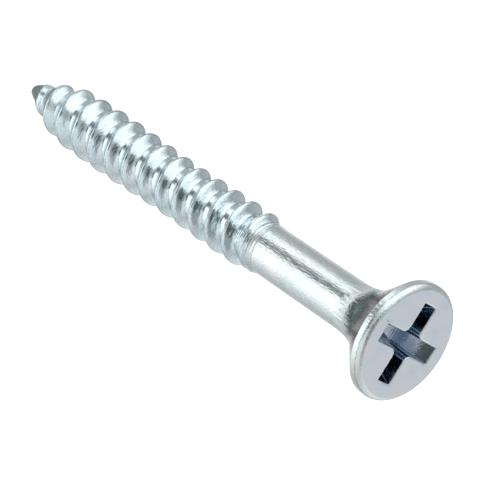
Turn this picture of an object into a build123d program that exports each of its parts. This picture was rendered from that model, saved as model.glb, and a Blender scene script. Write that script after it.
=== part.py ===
"""Countersunk wood screw, number 6 by 1 1/4 inch, cross recess, zinc plated steel.

The screw stands on its own axis: +Z points out of the wood, through the recess.
The origin is the centre of the head's flat face, and the tip is at -SCREW_LENGTH.
All sizes are millimetres.
"""

from build123d import *
import math
import os

os.makedirs("parts", exist_ok=True)

# overall
SCREW_LENGTH = 31.25

# countersunk head
FACE_RADIUS = 3.25
HEAD_RADIUS = 3.55
RIM_DROP = 0.385
RIM_BAND = 0.30
CONE_HALF_ANGLE = 41.0
NECK_RADIUS = 3.3

# cross recess
RECESS_ACROSS = 4.86
WING_WIDTH = 1.07
RECESS_CORNER = 0.42
RECESS_DEPTH = 2.2
WING_END_SLOPE = 26.5
WING_SIDE_SLOPE = 3.0
RECESS_POINT = 0.45

# plain shank, slightly tapered
SHANK_TOP_RADIUS = 1.487
SHANK_END_RADIUS = 1.445
SHANK_END = 11.55

# thread, right handed, 18 turns to the inch
PITCH = 25.4 / 18
CREST_RADIUS = 1.76
CORE_RADIUS = 1.18
CREST_FLAT = 0.06
ROOT_WIDTH = PITCH - 0.22
FLANK_RADIUS = 1.2
RUNOUT_STEP = 0.03
CORE_START = 13.3
FULL_THREAD_START = 13.0
CREST_AT_X = 0.2508
STEPS_PER_TURN = 10

# gimlet point
POINT_LENGTH = 4.0
TIP_RADIUS = 0.13
THREAD_TIP_RADIUS = 0.25
FIRST_TURN_HEIGHT = 0.55


def neck():
    """Heights and radii where the neck's fillet meets the cone and the shank."""
    angle = math.radians(CONE_HALF_ANGLE)
    sharp = RIM_DROP + RIM_BAND + (HEAD_RADIUS - SHANK_TOP_RADIUS) / math.tan(angle)
    run = NECK_RADIUS * math.tan(angle / 2)
    cone_end = (SHANK_TOP_RADIUS + run * math.sin(angle), -(sharp - run * math.cos(angle)))
    middle_angle = angle / 2
    middle = (
        SHANK_TOP_RADIUS + NECK_RADIUS * (1 - math.cos(middle_angle)),
        -(sharp + run) + NECK_RADIUS * math.sin(middle_angle),
    )
    shank_start = (SHANK_TOP_RADIUS, -(sharp + run))
    return cone_end, middle, shank_start


def rise(distance):
    """How far the gimlet point has grown at a distance from the tip, from 0 to 1."""
    return math.sin(math.pi / 2 * min(distance / POINT_LENGTH, 1))


def crest_radius(z):
    """The thread's outer radius at height z, on the point and on the parallel length."""
    return THREAD_TIP_RADIUS + (CREST_RADIUS - THREAD_TIP_RADIUS) * rise(z + SCREW_LENGTH)


def body_radius(z):
    """The radius under the thread at height z, from the point to the shank."""
    if z > -CORE_START:
        step = min((z + CORE_START) / (CORE_START - SHANK_END), 1)
        ease = (1 - math.cos(math.pi * step)) / 2
        return CORE_RADIUS + (SHANK_END_RADIUS - CORE_RADIUS) * ease
    return TIP_RADIUS + (CORE_RADIUS - TIP_RADIUS) * rise(z + SCREW_LENGTH)


def helix_height(turn):
    """The crest's height after a number of turns; whole turns pass over +X."""
    return turn * PITCH - CREST_AT_X


def axial_plane(turn):
    """The plane through the screw's axis that holds the crest at this turn."""
    angle = math.radians(turn * 360)
    return Plane(
        origin=(0, 0, 0),
        x_dir=(math.cos(angle), math.sin(angle), 0),
        z_dir=(math.sin(angle), -math.cos(angle), 0),
    )


def ridge_section(turn, outer, width, bulge=0):
    """The thread's section: a narrow crest and two hollow flanks down to the body.

    bulge is how far the body swells beyond a straight line between the two roots.
    """
    z = helix_height(turn)
    half_crest = CREST_FLAT / 2
    lower_root = (body_radius(z - width / 2), z - width / 2)
    upper_root = (body_radius(z + width / 2), z + width / 2)
    middle_root = ((lower_root[0] + upper_root[0]) / 2 + bulge, z)
    lower_crest = (outer, z - half_crest)
    upper_crest = (outer, z + half_crest)
    with BuildSketch(axial_plane(turn)) as section:
        with BuildLine():
            RadiusArc(lower_root, lower_crest, FLANK_RADIUS)
            Line(lower_crest, upper_crest)
            RadiusArc(upper_crest, upper_root, FLANK_RADIUS)
            Polyline(upper_root, middle_root, lower_root)
        make_face()
    return section.sketch


def point_section(turn):
    """The section on the gimlet point, where the ridge shrinks with the core."""
    z = helix_height(turn)
    width = ROOT_WIDTH * (0.35 + 0.65 * rise(z + SCREW_LENGTH))
    ends = (body_radius(z - width / 2) + body_radius(z + width / 2)) / 2
    return ridge_section(turn, crest_radius(z), width, body_radius(z) - ends)


def runout_section(turn, first_turn, last_turn):
    """The section where the ridge sinks into the shank, over the last turn."""
    fade = (turn - first_turn) / (last_turn - first_turn)
    end_radius = SHANK_END_RADIUS + RUNOUT_STEP
    outer = CREST_RADIUS + (end_radius - CREST_RADIUS) * fade**2
    return ridge_section(turn, outer, ROOT_WIDTH * (1 - 0.4 * fade))


def turns_between(first, last):
    """Turn numbers from first to last, STEPS_PER_TURN to a turn."""
    steps = round((last - first) * STEPS_PER_TURN)
    return [first + (last - first) * i / steps for i in range(steps + 1)]


def cross(depth, across, width, corner):
    """The recess outline at a depth below the face."""
    with BuildSketch(Plane.XY.offset(-depth)) as outline:
        Rectangle(across, width)
        Rectangle(width, across)
        inner = outline.vertices().sort_by_distance((0, 0, 0))[:4]
        fillet(inner, corner)
    return outline.sketch


# The head: flat face, rounded rim, 82 degree cone and the neck's fillet.
cone_end, neck_middle, shank_start = neck()
with BuildPart() as head:
    with BuildSketch(Plane.XZ):
        with BuildLine():
            Line((0, 0), (FACE_RADIUS, 0))
            ThreePointArc(
                (FACE_RADIUS, 0),
                (HEAD_RADIUS - 0.06, -RIM_DROP * 0.42),
                (HEAD_RADIUS, -RIM_DROP),
            )
            Line((HEAD_RADIUS, -RIM_DROP), (HEAD_RADIUS, -RIM_DROP - RIM_BAND))
            Line((HEAD_RADIUS, -RIM_DROP - RIM_BAND), cone_end)
            ThreePointArc(cone_end, neck_middle, shank_start)
            Line(shank_start, (0, shank_start[1]))
            Line((0, shank_start[1]), (0, 0))
        make_face()
    revolve(axis=Axis.Z)
    end_taper = 2 * RECESS_DEPTH * math.tan(math.radians(WING_END_SLOPE))
    side_taper = 2 * RECESS_DEPTH * math.tan(math.radians(WING_SIDE_SLOPE))
    floor_across = RECESS_ACROSS - end_taper
    floor_width = WING_WIDTH - side_taper
    mouth = cross(0, RECESS_ACROSS, WING_WIDTH, RECESS_CORNER)
    floor = cross(RECESS_DEPTH, floor_across, floor_width, RECESS_CORNER)
    loft(sections=[mouth, floor], mode=Mode.SUBTRACT)
    with Locations((0, 0, -RECESS_DEPTH - RECESS_POINT / 2)):
        Cone(
            bottom_radius=0.05,
            top_radius=floor_width / 2,
            height=RECESS_POINT,
            mode=Mode.SUBTRACT,
        )
head.part.label = "head"

# The plain shank, from the neck to where the rolled thread begins.
with BuildPart() as shank:
    with BuildSketch(Plane.XZ):
        Polygon(
            (0, shank_start[1]),
            shank_start,
            (SHANK_END_RADIUS, -SHANK_END),
            (0, -SHANK_END),
            align=None,
        )
    revolve(axis=Axis.Z)
shank.part.label = "shank"

# The thread's core: it steps in from the shank, then runs parallel to the point.
step_heights = [(CORE_START - SHANK_END) * i / 6 - CORE_START for i in range(6, -1, -1)]
with BuildPart() as core:
    with BuildSketch(Plane.XZ):
        with BuildLine():
            Line((0, -SHANK_END), (SHANK_END_RADIUS, -SHANK_END))
            Spline(
                *[(body_radius(z), z) for z in step_heights],
                tangents=((0, -1), (0, -1)),
            )
            Line((CORE_RADIUS, -CORE_START), (CORE_RADIUS, POINT_LENGTH - SCREW_LENGTH))
            Line((CORE_RADIUS, POINT_LENGTH - SCREW_LENGTH), (0, POINT_LENGTH - SCREW_LENGTH))
            Line((0, POINT_LENGTH - SCREW_LENGTH), (0, -SHANK_END))
        make_face()
    revolve(axis=Axis.Z)
core.part.label = "core"

# The gimlet point: the core drawn in to a small blunt tip.
point_heights = [POINT_LENGTH * i / 6 - SCREW_LENGTH for i in range(1, 6)]
with BuildPart() as gimlet_point:
    with BuildSketch(Plane.XZ):
        with BuildLine():
            Line((0, POINT_LENGTH - SCREW_LENGTH), (0, -SCREW_LENGTH))
            Line((0, -SCREW_LENGTH), (TIP_RADIUS, -SCREW_LENGTH))
            Spline(
                (TIP_RADIUS, -SCREW_LENGTH),
                *[(body_radius(z), z) for z in point_heights],
                (CORE_RADIUS, POINT_LENGTH - SCREW_LENGTH),
            )
            Line((CORE_RADIUS, POINT_LENGTH - SCREW_LENGTH), (0, POINT_LENGTH - SCREW_LENGTH))
        make_face()
    revolve(axis=Axis.Z)
gimlet_point.part.label = "gimlet_point"

# The thread ridge: grown on the point, parallel, then run out into the shank.
tip_turn = math.ceil(10 * (CREST_AT_X - SCREW_LENGTH + FIRST_TURN_HEIGHT) / PITCH) / 10
parallel_start = math.ceil((CREST_AT_X + POINT_LENGTH + ROOT_WIDTH / 2 - SCREW_LENGTH) / PITCH)
parallel_end = math.floor((CREST_AT_X - FULL_THREAD_START) / PITCH) + 1
runout_end = parallel_end + 0.9
with BuildPart() as thread:
    loft(sections=[point_section(turn) for turn in turns_between(tip_turn, parallel_start)])
    with BuildLine() as crest_path:
        Helix(
            pitch=PITCH,
            height=(parallel_end - parallel_start) * PITCH,
            radius=CREST_RADIUS,
            center=(0, 0, helix_height(parallel_start)),
        )
    sweep(
        ridge_section(parallel_start, CREST_RADIUS, ROOT_WIDTH),
        path=crest_path.line,
        is_frenet=True,
    )
    loft(
        sections=[
            runout_section(turn, parallel_end, runout_end)
            for turn in turns_between(parallel_end, runout_end)
        ]
    )
thread.part.label = "thread"

export_step(head.part, "parts/head.step")
export_step(shank.part, "parts/shank.step")
export_step(core.part, "parts/core.step")
export_step(gimlet_point.part, "parts/gimlet_point.step")
export_step(thread.part, "parts/thread.step")
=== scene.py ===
"""Looks of a zinc plated, countersunk wood screw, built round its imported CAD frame.

The screw stands on its axis: +Z points out of the wood and the origin is the centre
of the head's flat face. Shapes are worked out in millimetres and stored in metres.
"""

import bpy
import math
import numpy as np
from mathutils import Matrix, Vector


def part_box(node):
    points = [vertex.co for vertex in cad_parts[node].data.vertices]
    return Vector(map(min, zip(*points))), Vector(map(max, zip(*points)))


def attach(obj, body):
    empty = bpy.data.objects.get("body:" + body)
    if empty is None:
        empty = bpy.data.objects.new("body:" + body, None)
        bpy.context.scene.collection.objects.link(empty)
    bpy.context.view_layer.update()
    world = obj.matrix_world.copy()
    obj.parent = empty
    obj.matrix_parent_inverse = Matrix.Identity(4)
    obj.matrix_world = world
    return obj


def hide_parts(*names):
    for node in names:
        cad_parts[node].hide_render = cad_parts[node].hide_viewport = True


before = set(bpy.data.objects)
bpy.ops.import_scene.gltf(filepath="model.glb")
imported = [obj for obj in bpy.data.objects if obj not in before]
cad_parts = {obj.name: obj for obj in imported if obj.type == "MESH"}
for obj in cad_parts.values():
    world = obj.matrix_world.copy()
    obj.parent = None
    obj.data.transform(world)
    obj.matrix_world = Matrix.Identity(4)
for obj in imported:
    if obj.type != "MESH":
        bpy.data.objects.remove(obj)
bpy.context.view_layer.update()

MM = 0.001


def node_box(node):
    """A node's lowest and highest corners in millimetres."""
    low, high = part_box(node)
    return Vector(low) / MM, Vector(high) / MM


# Sizes that the frame gives.
HEAD_LOW, HEAD_HIGH = node_box("head")
SHANK_LOW, SHANK_HIGH = node_box("shank")
CORE_HIGH = node_box("core")[1]
POINT_LOW, POINT_HIGH = node_box("gimlet_point")
THREAD_HIGH = node_box("thread")[1]

HEAD_RADIUS = HEAD_HIGH.x
NECK_END = HEAD_LOW.z
SHANK_END = SHANK_LOW.z
SHANK_TOP_RADIUS = SHANK_HIGH.x
SHANK_END_RADIUS = CORE_HIGH.x
POINT_START = POINT_HIGH.z
TIP = POINT_LOW.z
CORE_RADIUS = POINT_HIGH.x
CREST_RADIUS = THREAD_HIGH.x

# The head's outline.
FACE_RADIUS = 3.25
RIM_DROP = 0.385
RIM_BAND = 0.30
EDGE_ANGLE = math.radians(68.0)
CONE_HALF_ANGLE = math.radians(41.0)
NECK_RADIUS = 3.3

# Upright marks that the heading die leaves on the neck: their height, the waves round
# it, the length of the marked band and the lengths over which the marks fade at its ends.
DIE_MARK = 0.006
DIE_MARK_WAVES = (23, 37, 59, 83)
DIE_MARK_BAND = 1.6
DIE_MARK_FADE_BELOW = 0.3
DIE_MARK_FADE_ABOVE = 0.5

# The cross recess. Its end walls are steeper near the mouth, and its lip is a little ragged.
RECESS_HALF = 2.43
WING_HALF = 0.535
CORNER = 0.42
RECESS_DEPTH = 2.2
END_SLOPE = math.tan(math.radians(26.5))
SIDE_SLOPE = math.tan(math.radians(3.0))
RECESS_POINT = 0.45
END_BULGE = 0.05
END_BULGE_DEPTH = 1.4
LIP = 0.07
LIP_RAGGED = 0.012
LIP_WAVES = (0.9, 1.7, 2.6)

# The thread: its ridge is narrow near the shank and broad near the point.
PITCH = 25.4 / 18
CREST_AT_X = 0.2508
RIDGE_HALF = 0.62
CREST_POWER_NARROW = 1.5
CREST_POWER_BROAD = 0.8
CREST_NARROW_AT = -14.0
CREST_BROAD_AT = -25.0
CORE_SWELL = 0.12
CREST_WAVE = 0.045
CREST_WAVE_LENGTH = 10.7
CREST_WAVE_TOP = -13.6
CORE_START = -13.3
RUNOUT_START = -12.55
RUNOUT_END = -10.9
CORE_START_OVERLAP = 0.1

# Fine rings that the rolling dies leave on the end of the shank.
RING_TOP = -10.9
RING_BOTTOM = -12.9
RING_SPACING = 0.22
RING_HEIGHT = 0.022
FINE_RING_SPACING = 0.62
FINE_RING_HEIGHT = 0.6
RING_SLANT = 0.3

# The gimlet point.
POINT_LENGTH = POINT_START - TIP
THREAD_TIP_RADIUS = 0.22
GROOVE_START = 0.1
GROOVE_FULL = 3.1
TIP_ROUND = 0.16

# How finely the meshes are divided. Counts on the recess's outline are for an eighth of it.
COLUMNS = 128
ROWS_PER_TURN = 48
SHANK_ROW = 0.03
END_POINTS = 12
SIDE_POINTS = 20
BEND_POINTS = 12
FLOOR_RINGS = (0.02, 0.2, 0.45, 0.7, 0.9)
WALL_RINGS = 26
LIP_RINGS = 4
FACE_RINGS = 18
FACE_EDGE = 0.012
EDGE_RINGS = 14
BAND_RINGS = 4
CONE_RINGS = 15
NECK_RINGS = 19

# The head's materials, in the order of its slots, and how many rows of the cone are
# tinted pink. The recess's material is painted shade, dark where the recess lies in shade.
CONE, FACE, RECESS, RIM, NECK = range(5)
TINTED_CONE_ROWS = 12


def eased(x):
    """0 below 0, 1 above 1 and a smooth step between."""
    x = np.clip(x, 0, 1)
    return x * x * (3 - 2 * x)


def rise(z):
    """How far the gimlet point has grown at height z, from 0 at the tip to 1."""
    return np.sin(np.pi / 2 * np.clip((z - TIP) / POINT_LENGTH, 0, 1))


def full_crest(z):
    """The thread's outer radius before the run-out: it grows on the point, then wavers."""
    wave = CREST_WAVE * (np.cos(2 * np.pi * (z - CREST_WAVE_TOP) / CREST_WAVE_LENGTH) - 0.5)
    round_end = np.sqrt(np.clip((z - TIP) / TIP_ROUND, 0.01, 1))
    return (THREAD_TIP_RADIUS + (CREST_RADIUS + wave - THREAD_TIP_RADIUS) * rise(z)) * round_end


def broadening(z):
    """How far the thread has gone, at height z, from its narrow crest to its broad one."""
    return np.clip((CREST_NARROW_AT - z) / (CREST_NARROW_AT - CREST_BROAD_AT), 0, 1)


def body_radius(z):
    """The plain body's radius under the thread at height z."""
    taper = (z - SHANK_END) / (NECK_END - SHANK_END)
    shank = SHANK_END_RADIUS + (SHANK_TOP_RADIUS - SHANK_END_RADIUS) * np.clip(taper, 0, 1)
    groove = eased((z - TIP - GROOVE_START) / (GROOVE_FULL - GROOVE_START))
    swollen = CORE_RADIUS + CORE_SWELL * broadening(z)
    core = np.minimum(full_crest(z) + (swollen - CREST_RADIUS) * groove, swollen)
    core = np.where(z > POINT_START, swollen, core)
    return core + (shank - core) * eased(
        (z - CORE_START) / (SHANK_END - CORE_START + CORE_START_OVERLAP)
    )


def crest_radius(z):
    """The thread's outer radius at height z."""
    fade = eased((z - RUNOUT_START) / (RUNOUT_END - RUNOUT_START))
    return full_crest(z) + (body_radius(z) - full_crest(z)) * fade


def ridge_shape(across, z):
    """The thread's height, 1 on the crest and 0 on the root, across the ridge."""
    power = CREST_POWER_NARROW + (CREST_POWER_BROAD - CREST_POWER_NARROW) * broadening(z)
    t = np.clip(np.abs(across) / RIDGE_HALF, 0, 1)
    return (0.5 + 0.5 * np.cos(np.pi * t)) ** power


def rolled_rings(z):
    """The fine rings' height, which fades at both ends of their band."""
    middle = (RING_TOP + RING_BOTTOM) / 2
    band = eased(1.5 - 1.5 * np.abs(z - middle) / (RING_TOP - middle))
    coarse = np.sin(2 * np.pi * z / RING_SPACING)
    fine = np.sin(2 * np.pi * z / (RING_SPACING * FINE_RING_SPACING))
    return RING_HEIGHT * band * (coarse + FINE_RING_HEIGHT * fine)


def screw_radius(angle, z):
    """The screw's surface below the neck, thread included."""
    turns = (z + CREST_AT_X) / PITCH - angle / (2 * np.pi)
    across = (turns - np.round(turns)) * PITCH
    body = body_radius(z)
    height = np.maximum(crest_radius(z) - body, 0)
    slanted = z - (angle - np.pi) / (2 * np.pi) * RING_SLANT * RING_SPACING * np.cos(angle)
    return body + height * ridge_shape(across, z) + rolled_rings(slanted)


def grid_piece(name, rings):
    """A closed mesh of rings of points, in millimetres, with a flat cap at each end.

    In the order that the rings are given here, the faces' normals point into the piece.
    """
    count, columns, _ = rings.shape
    first = np.arange(count - 1)[:, None] * columns
    i = np.arange(columns)[None, :]
    j = (i + 1) % columns
    quads = np.stack([first + i, first + j, first + columns + j, first + columns + i], -1)
    last = (count - 1) * columns
    caps = [list(range(columns))[::-1], list(range(last, last + columns))]
    mesh = bpy.data.meshes.new(name)
    mesh.from_pydata((rings.reshape(-1, 3) * MM).tolist(), [], quads.reshape(-1, 4).tolist() + caps)
    mesh.polygons.foreach_set("use_smooth", np.ones(len(mesh.polygons), bool))
    ends = np.zeros(len(mesh.edges) * 2, np.int32)
    mesh.edges.foreach_get("vertices", ends)
    ends = ends.reshape(-1, 2)
    on_cap = (ends.max(1) < columns) | (ends.min(1) >= last)
    sharp = mesh.attributes.new("sharp_edge", "BOOLEAN", "EDGE")
    sharp.data.foreach_set("value", on_cap)
    mesh.update()
    piece = bpy.data.objects.new(name, mesh)
    bpy.context.scene.collection.objects.link(piece)
    return piece


def round_rings(heights, radius):
    """Rings of points round the axis at these heights, with a radius function."""
    angle = np.linspace(0, 2 * np.pi, COLUMNS, endpoint=False)[None, :]
    z = np.asarray(heights)[:, None]
    r = radius(angle, z)
    return np.stack([r * np.cos(angle), r * np.sin(angle), z + 0 * angle], -1)


def heights_between(top, bottom, step):
    """Heights from top down to bottom, about one step apart."""
    return np.linspace(top, bottom, max(2, round((top - bottom) / step) + 1))


def recess_outline(half, wing, corner):
    """One ring round the recess: a cross with straight arms and rounded inner corners."""
    end = np.linspace(0, 1, END_POINTS, endpoint=False)[:, None] * np.array([[0, wing]])
    end = end + np.array([[half, 0]])
    side_stop = wing + corner
    along = np.linspace(half, side_stop, SIDE_POINTS, endpoint=False)
    side = np.stack([along, np.full(SIDE_POINTS, wing)], -1)
    turn = np.linspace(np.pi * 1.5, np.pi * 1.25, BEND_POINTS, endpoint=False)
    bend = np.stack([side_stop + corner * np.cos(turn), side_stop + corner * np.sin(turn)], -1)
    eighth = np.concatenate([end, side, bend])
    middle = np.full((1, 2), side_stop - corner * np.cos(np.pi / 4))
    back = eighth[1:, ::-1][::-1]
    quarter = np.concatenate([eighth, middle, back])
    ring = []
    for k in range(4):
        c, s = round(math.cos(k * np.pi / 2)), round(math.sin(k * np.pi / 2))
        ring.append(quarter @ np.array([[c, s], [-s, c]]))
    return np.concatenate(ring)


def head_profile():
    """Radius and height from the face's edge, round the rim and down the cone and neck."""
    rim_bottom = -(RIM_DROP + RIM_BAND)
    sharp = rim_bottom - (HEAD_RADIUS - SHANK_TOP_RADIUS) / math.tan(CONE_HALF_ANGLE)
    run = NECK_RADIUS * math.tan(CONE_HALF_ANGLE / 2)
    edge_width = HEAD_RADIUS - FACE_RADIUS
    edge_cos = math.cos(EDGE_ANGLE)
    edge_sin = math.sin(EDGE_ANGLE)
    line = []
    for t in np.linspace(EDGE_ANGLE, 0, EDGE_RINGS):
        r = FACE_RADIUS + edge_width * (math.cos(t) - edge_cos) / (1 - edge_cos)
        line.append((r, -RIM_DROP * (1 - math.sin(t) / edge_sin)))
    for t in np.linspace(0, 1, BAND_RINGS + 1)[1:]:
        line.append((HEAD_RADIUS, -RIM_DROP - RIM_BAND * t))
    cone_radius = SHANK_TOP_RADIUS + run * math.sin(CONE_HALF_ANGLE)
    cone_end = sharp + run * math.cos(CONE_HALF_ANGLE)
    for t in np.linspace(0, 1, CONE_RINGS + 1)[1:]:
        r = HEAD_RADIUS + (cone_radius - HEAD_RADIUS) * t
        line.append((r, rim_bottom + (cone_end - rim_bottom) * t))
    neck_x = SHANK_TOP_RADIUS + NECK_RADIUS
    neck_z = sharp - run
    for t in np.linspace(CONE_HALF_ANGLE, 0, NECK_RINGS + 1)[1:]:
        line.append((neck_x - NECK_RADIUS * math.cos(t), neck_z + NECK_RADIUS * math.sin(t)))
    return line


def head_rings():
    """The whole head: recess floor, walls and mouth, then the face, rim, cone and neck."""
    rings = []

    def add(flat, z):
        rings.append(np.column_stack([flat, np.broadcast_to(z, len(flat))]))

    floor = recess_outline(
        RECESS_HALF - RECESS_DEPTH * END_SLOPE, WING_HALF - RECESS_DEPTH * SIDE_SLOPE, CORNER
    )
    for t in FLOOR_RINGS:
        add(floor * t, -RECESS_DEPTH - RECESS_POINT * (1 - t) ** 1.5)
    for depth in np.linspace(RECESS_DEPTH, LIP, WALL_RINGS):
        bulge = END_BULGE * math.sin(math.pi * depth / END_BULGE_DEPTH) * (depth < END_BULGE_DEPTH)
        half = RECESS_HALF - depth * END_SLOPE + bulge
        add(recess_outline(half, WING_HALF - depth * SIDE_SLOPE, CORNER), -depth)
    mouth = rings[-1][:, :2]
    opening = recess_outline(RECESS_HALF + LIP, WING_HALF + LIP, CORNER)
    outward = opening - mouth
    around = np.arange(len(mouth))[:, None]
    ragged = 1 + LIP_RAGGED / LIP * sum(np.sin(wave * around) for wave in LIP_WAVES)
    for t in np.linspace(0, np.pi / 2, LIP_RINGS + 1)[1:]:
        add(mouth + outward * ragged * (1 - math.cos(t)), -LIP * (1 - math.sin(t)))
    recess_count = len(rings)
    inner = rings[-1][:, :2]
    direction = opening / np.linalg.norm(opening, axis=1)[:, None]
    edge = direction * FACE_RADIUS
    for t in np.linspace(0, 1, FACE_RINGS)[1:-1]:
        add(inner + (edge - inner) * t, 0.0)
    add(direction * (FACE_RADIUS - FACE_EDGE), 0.0)
    face_count = len(rings)
    angle = np.arctan2(direction[:, 1], direction[:, 0])[:, None]
    marks = sum(np.sin(count * angle + count) for count in DIE_MARK_WAVES)
    for r, z in head_profile():
        below = eased((z - NECK_END) / DIE_MARK_FADE_BELOW)
        above = eased((NECK_END + DIE_MARK_BAND - z) / DIE_MARK_FADE_ABOVE)
        add(direction * (r + DIE_MARK * (below * above) * marks), z)
    return np.stack(rings), recess_count, face_count


rings, recess_count, face_count = head_rings()
head = grid_piece("forged_head", rings)
row = np.arange(len(head.data.polygons)) // rings.shape[1]
rim_end = face_count + EDGE_RINGS + BAND_RINGS
tint_end = rim_end + TINTED_CONE_ROWS
# Rows down in the recess, and the floor's cap, take the material with painted shade; the lip takes the
# rim's.
finish_and_painted_shade = np.select(
    [row < recess_count - LIP_RINGS, row < recess_count, row < face_count, row < rim_end, row < tint_end],
    [RECESS, RIM, FACE, RIM, CONE],
    NECK,
)
finish_and_painted_shade[-2:] = (RECESS, NECK)
head.data.polygons.foreach_set("material_index", finish_and_painted_shade.astype(np.int32))
shank = grid_piece(
    "plain_shank",
    round_rings(heights_between(NECK_END, SHANK_END, SHANK_ROW), screw_radius),
)
threaded = grid_piece(
    "rolled_thread",
    round_rings(heights_between(SHANK_END, POINT_START, PITCH / ROWS_PER_TURN), screw_radius),
)
point = grid_piece(
    "gimlet_tip",
    round_rings(heights_between(POINT_START, TIP, PITCH / ROWS_PER_TURN), screw_radius),
)

for piece, nodes in (
    (head, ["head"]),
    (shank, ["shank"]),
    (threaded, ["core", "thread"]),
    (point, ["gimlet_point"]),
):
    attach(piece, "root")
    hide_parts(*nodes)


def shader_tools(tree):
    """Short calls that add a node and set or link its sockets."""

    def node(kind, **settings):
        made = tree.nodes.new(kind)
        for key, value in settings.items():
            setattr(made, key, value)
        return made

    def put(socket, value):
        if isinstance(value, bpy.types.NodeSocket):
            tree.links.new(value, socket)
        else:
            socket.default_value = value

    def math_node(operation, *values):
        made = node("ShaderNodeMath", operation=operation)
        for socket, value in zip(made.inputs, values):
            put(socket, value)
        return made.outputs[0]

    def ramp(factor, stops):
        made = node("ShaderNodeValToRGB")
        band = made.color_ramp
        while len(band.elements) < len(stops):
            band.elements.new(0.5)
        for element, (position, colour) in zip(band.elements, stops):
            element.position = position
            element.color = (*colour, 1)
        put(made.inputs[0], factor)
        return made.outputs[0]

    def mix(factor, one, two, blend="MIX"):
        made = node("ShaderNodeMix", data_type="RGBA", blend_type=blend)
        put(made.inputs["Factor"], factor)
        put(made.inputs[6], one)
        put(made.inputs[7], two)
        return made.outputs[2]

    def step(value, low, high):
        made = node("ShaderNodeMapRange", interpolation_type="SMOOTHSTEP")
        put(made.inputs["Value"], value)
        made.inputs["From Min"].default_value = low
        made.inputs["From Max"].default_value = high
        return made.outputs["Result"]

    return node, put, math_node, ramp, mix, step


# The plating's noises, in waves to the metre, and what they do.
STREAKS = 12000
SPECKS = 24000
CLOUDS = 900
CLOUD_STOPS = (0.34, 0.5, 0.66)
SPECK_COLOUR = (0.86, 0.86, 0.86, 1)
SPECK_LOW = 0.38
SPECK_HIGH = 0.62
SPECK_ROUGHNESS = 0.1
STREAK_DEPTH = 0.00006


def zinc_material(name, colours, roughness, grain, stretch):
    """Bright zinc plating: three clouded colours and a grain that is drawn out by stretch."""
    material = bpy.data.materials.new(name)
    material.use_nodes = True
    tree = material.node_tree
    node, put, math_node, ramp, mix, step = shader_tools(tree)
    shader = tree.nodes["Principled BSDF"]
    place = node("ShaderNodeTexCoord").outputs["Object"]
    drawn = node("ShaderNodeMapping")
    drawn.inputs["Scale"].default_value = stretch
    put(drawn.inputs["Vector"], place)

    def noise(vector, scale, detail):
        made = node("ShaderNodeTexNoise")
        put(made.inputs["Vector"], vector)
        made.inputs["Scale"].default_value = scale
        made.inputs["Detail"].default_value = detail
        return made.outputs["Fac"]

    streak = noise(drawn.outputs[0], STREAKS, 2)
    speck = noise(drawn.outputs[0], SPECKS, 2)
    cloud = noise(place, CLOUDS, 3)
    plating = ramp(cloud, list(zip(CLOUD_STOPS, colours)))
    plating = mix(step(speck, SPECK_HIGH, SPECK_LOW), plating, SPECK_COLOUR, "MULTIPLY")
    shader.inputs["Metallic"].default_value = 1.0
    put(shader.inputs["Base Color"], plating)
    put(shader.inputs["Roughness"], math_node("MULTIPLY_ADD", speck, SPECK_ROUGHNESS, roughness))
    bump = node("ShaderNodeBump")
    bump.inputs["Strength"].default_value = grain
    bump.inputs["Distance"].default_value = STREAK_DEPTH
    put(bump.inputs["Height"], streak)
    put(shader.inputs["Normal"], bump.outputs[0])
    return material


# Three clouded colours of each material. The recess's colours are painted shade.
SILVER = ((0.80, 0.88, 0.89), (0.87, 0.94, 0.94), (0.92, 0.95, 0.94))
CYAN = ((0.76, 0.90, 0.95), (0.83, 0.95, 0.98), (0.88, 0.97, 0.99))
LAVENDER = ((0.78, 0.85, 0.92), (0.84, 0.88, 0.94), (0.90, 0.88, 0.90))
PINK = ((0.95, 0.70, 0.71), (0.93, 0.74, 0.76), (0.84, 0.75, 0.78))
# Dark navy painted shade for the recess's walls and floor, where the recess lies in shade.
NAVY_PAINTED_SHADE = ((0.32, 0.41, 0.52), (0.52, 0.61, 0.71), (0.74, 0.81, 0.86))

# The cone's upper rows are tinted pink all round.
head.data.materials.append(zinc_material("zinc_cone", PINK, 0.05, 0.3, (1, 1, 0.3)))
head.data.materials.append(zinc_material("zinc_face", LAVENDER, 0.05, 0.06, (1, 1, 1)))
# The recess's material paints its shade into the plating's colour.
head.data.materials.append(zinc_material("zinc_recess_painted_shade", NAVY_PAINTED_SHADE, 0.03, 0.14, (1, 1, 0.12)))
head.data.materials.append(zinc_material("zinc_rim", SILVER, 0.0, 0.4, (1, 1, 0.6)))
head.data.materials.append(zinc_material("zinc_neck", SILVER, 0.03, 0.45, (1, 1, 0.2)))
shank.data.materials.append(zinc_material("zinc_shank", SILVER, -0.02, 0.33, (1, 1, 0.3)))

# The point is worn a little dull.
POINT_METALLIC = 0.85
point_finish = zinc_material("zinc_point", CYAN, 0.08, 0.3, (0.5, 0.5, 1))
point_finish.node_tree.nodes["Principled BSDF"].inputs["Metallic"].default_value = POINT_METALLIC
point.data.materials.append(point_finish)
threaded.data.materials.append(zinc_material("zinc_thread", CYAN, 0.0, 0.22, (0.35, 0.35, 1)))

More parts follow.
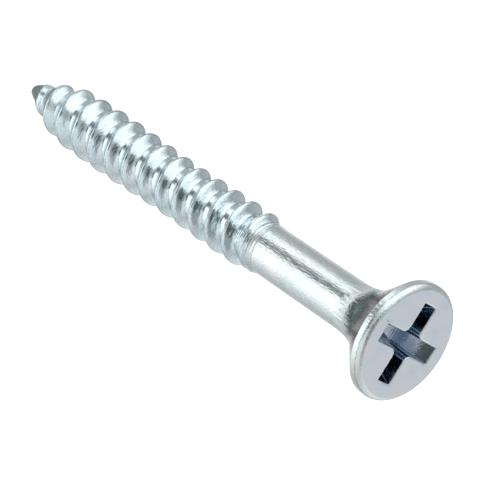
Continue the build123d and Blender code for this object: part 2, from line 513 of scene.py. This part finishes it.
# The floor: white paper, level with the tip, that the plating doesn't reflect.
SIDE = 0.6
PAPER_GLOW = 0.7
floor_mesh = bpy.data.meshes.new("floor")
corners = [(-SIDE, -SIDE), (SIDE, -SIDE), (SIDE, SIDE), (-SIDE, SIDE)]
floor_mesh.from_pydata([(x, y, TIP * MM) for x, y in corners], [], [(0, 1, 2, 3)])
floor = bpy.data.objects.new("floor", floor_mesh)
bpy.context.scene.collection.objects.link(floor)
floor.visible_glossy = False
paper = bpy.data.materials.new("paper")
paper.use_nodes = True
paper_shader = paper.node_tree.nodes["Principled BSDF"]
paper_shader.inputs["Base Color"].default_value = (0.9, 0.9, 0.9, 1)
paper_shader.inputs["Emission Color"].default_value = (1, 1, 1, 1)
paper_shader.inputs["Emission Strength"].default_value = PAPER_GLOW
floor_mesh.materials.append(paper)


def grey(value, warmth=0.0):
    """A light colour: slightly blue, or slightly pink with some warmth."""
    return (value * (0.97 + warmth), value * (1.0 - 0.4 * abs(warmth)), value * 1.02)


def stops(pairs):
    """Ramp stops from azimuths in degrees and brightnesses."""
    return [((azimuth + 180) / 360, grey(value, *rest)) for azimuth, value, *rest in pairs]


# The lights round the screw, in four bands: low, level, overhead and below. Each stop
# has an azimuth in degrees from -Y towards +X, a brightness, and perhaps some warmth.
LOW_LIGHTS = [
    (-180, 0.95), (-150, 0.75), (-130, 0.44), (-84, 0.48), (-70, 1.05), (-46, 1.3),
    (-31, 0.24, -0.03), (-15, 0.2, -0.03), (-8, 0.6), (0, 1.3), (50, 1.25),
    (75, 0.85), (110, 0.55), (135, 0.5), (180, 0.95),
]
LEVEL_LIGHTS = [
    (-180, 0.64), (-165, 0.5), (-128, 0.4), (-98, 1.25), (-35, 1.25), (-21, 0.55),
    (-8, 0.45), (8, 0.55), (22, 0.85), (60, 0.8), (105, 0.55), (150, 0.85), (180, 0.64),
]
CEILING_LIGHTS = [
    (-180, 0.6), (-125, 0.35), (-85, 1.0), (-60, 1.1), (-25, 0.4), (85, 0.35), (180, 0.6),
]
FLOOR_LIGHTS = [
    (-180, 0.06), (-150, 0.06), (-125, 0.6), (-40, 0.9), (40, 0.9), (125, 0.6),
    (150, 0.06), (180, 0.06),
]

# Where one band of lights gives way to the next, as the height of a unit direction.
LOW_TO_LEVEL = (-0.45, -0.15)
LEVEL_TO_CEILING = (0.68, 0.86)
LOW_TO_FLOOR = (-0.72, -0.82)

# A dark gap between the low and the level lights.
GAP_BELOW = (-0.46, -0.37)
GAP_ABOVE = (-0.08, -0.2)
GAP_STRENGTH = 0.5
GAP_COLOUR = (0.12, 0.13, 0.12, 1)

# Dark patches of the room: one overhead, one in front and one straight below. Each has
# an azimuth, an elevation, and the angles from its middle where it starts and is full.
PATCH_COLOUR = (0.10, 0.12, 0.11, 1)
DARK_PATCHES = [(-8, 72, 20, 9), (4, 6, 17, 10), (0, -90, 31, 20)]


def aim(azimuth, elevation):
    """The direction at an azimuth from -Y towards +X and an elevation, in degrees."""
    a, e = math.radians(azimuth), math.radians(elevation)
    return Vector((math.sin(a) * math.cos(e), -math.cos(a) * math.cos(e), math.sin(e)))


def studio_world():
    """Soft lights and dark gaps all round the screw, which its plating reflects."""
    world = bpy.data.worlds.new("studio")
    bpy.context.scene.world = world
    world.use_nodes = True
    tree = world.node_tree
    node, put, math_node, ramp, mix, step = shader_tools(tree)
    split = node("ShaderNodeSeparateXYZ")
    direction = node("ShaderNodeTexCoord").outputs["Generated"]
    put(split.inputs[0], direction)
    x, y, z = split.outputs
    back = math_node("MULTIPLY", y, -1.0)
    turn = math_node("MULTIPLY_ADD", math_node("ARCTAN2", x, back), 1 / (2 * math.pi), 0.5)
    low = ramp(turn, stops(LOW_LIGHTS))
    level = ramp(turn, stops(LEVEL_LIGHTS))
    ceiling = ramp(turn, stops(CEILING_LIGHTS))
    below = ramp(turn, stops(FLOOR_LIGHTS))
    colour = mix(step(z, *LOW_TO_LEVEL), low, level)
    gap = math_node("MULTIPLY", step(z, *GAP_BELOW), step(z, *GAP_ABOVE))
    colour = mix(math_node("MULTIPLY", gap, GAP_STRENGTH), colour, GAP_COLOUR)
    colour = mix(step(z, *LEVEL_TO_CEILING), colour, ceiling)
    colour = mix(step(z, *LOW_TO_FLOOR), colour, below)
    for azimuth, elevation, wide, core in DARK_PATCHES:
        towards = node("ShaderNodeVectorMath", operation="DOT_PRODUCT")
        put(towards.inputs[0], direction)
        towards.inputs[1].default_value = aim(azimuth, elevation)
        near = step(
            towards.outputs["Value"], math.cos(math.radians(wide)), math.cos(math.radians(core))
        )
        colour = mix(near, colour, PATCH_COLOUR)
    put(tree.nodes["Background"].inputs["Color"], colour)
    tree.nodes["Background"].inputs["Strength"].default_value = 1.0


studio_world()

# The camera, rolled so that the screw lies across the frame.
CAMERA_AZIMUTH = -4.28
CAMERA_ELEVATION = 37.15
CAMERA_ROLL = math.radians(124.43)
CAMERA_TARGET = Vector((0.489, -0.024, -13.027))
CAMERA_DISTANCE = 407.88
CAMERA_LENS = 554.2


def make_camera():
    """A long lens, aimed at the middle of the screw."""
    back = aim(CAMERA_AZIMUTH, CAMERA_ELEVATION)
    turned_by = math.radians(CAMERA_AZIMUTH)
    side = Vector((math.cos(turned_by), math.sin(turned_by), 0))
    up = back.cross(side)
    right = side * math.cos(CAMERA_ROLL) + up * math.sin(CAMERA_ROLL)
    top = back.cross(right)
    data = bpy.data.cameras.new("camera")
    data.lens = CAMERA_LENS
    data.sensor_width = 36
    data.clip_start = 0.01
    data.clip_end = 10
    camera = bpy.data.objects.new("camera", data)
    bpy.context.scene.collection.objects.link(camera)
    turned = Matrix((right, top, back)).transposed().to_4x4()
    place = (CAMERA_TARGET + back * CAMERA_DISTANCE) * MM
    camera.matrix_world = Matrix.Translation(place) @ turned
    bpy.context.scene.camera = camera


make_camera()
bpy.context.scene.view_settings.view_transform = "Standard"
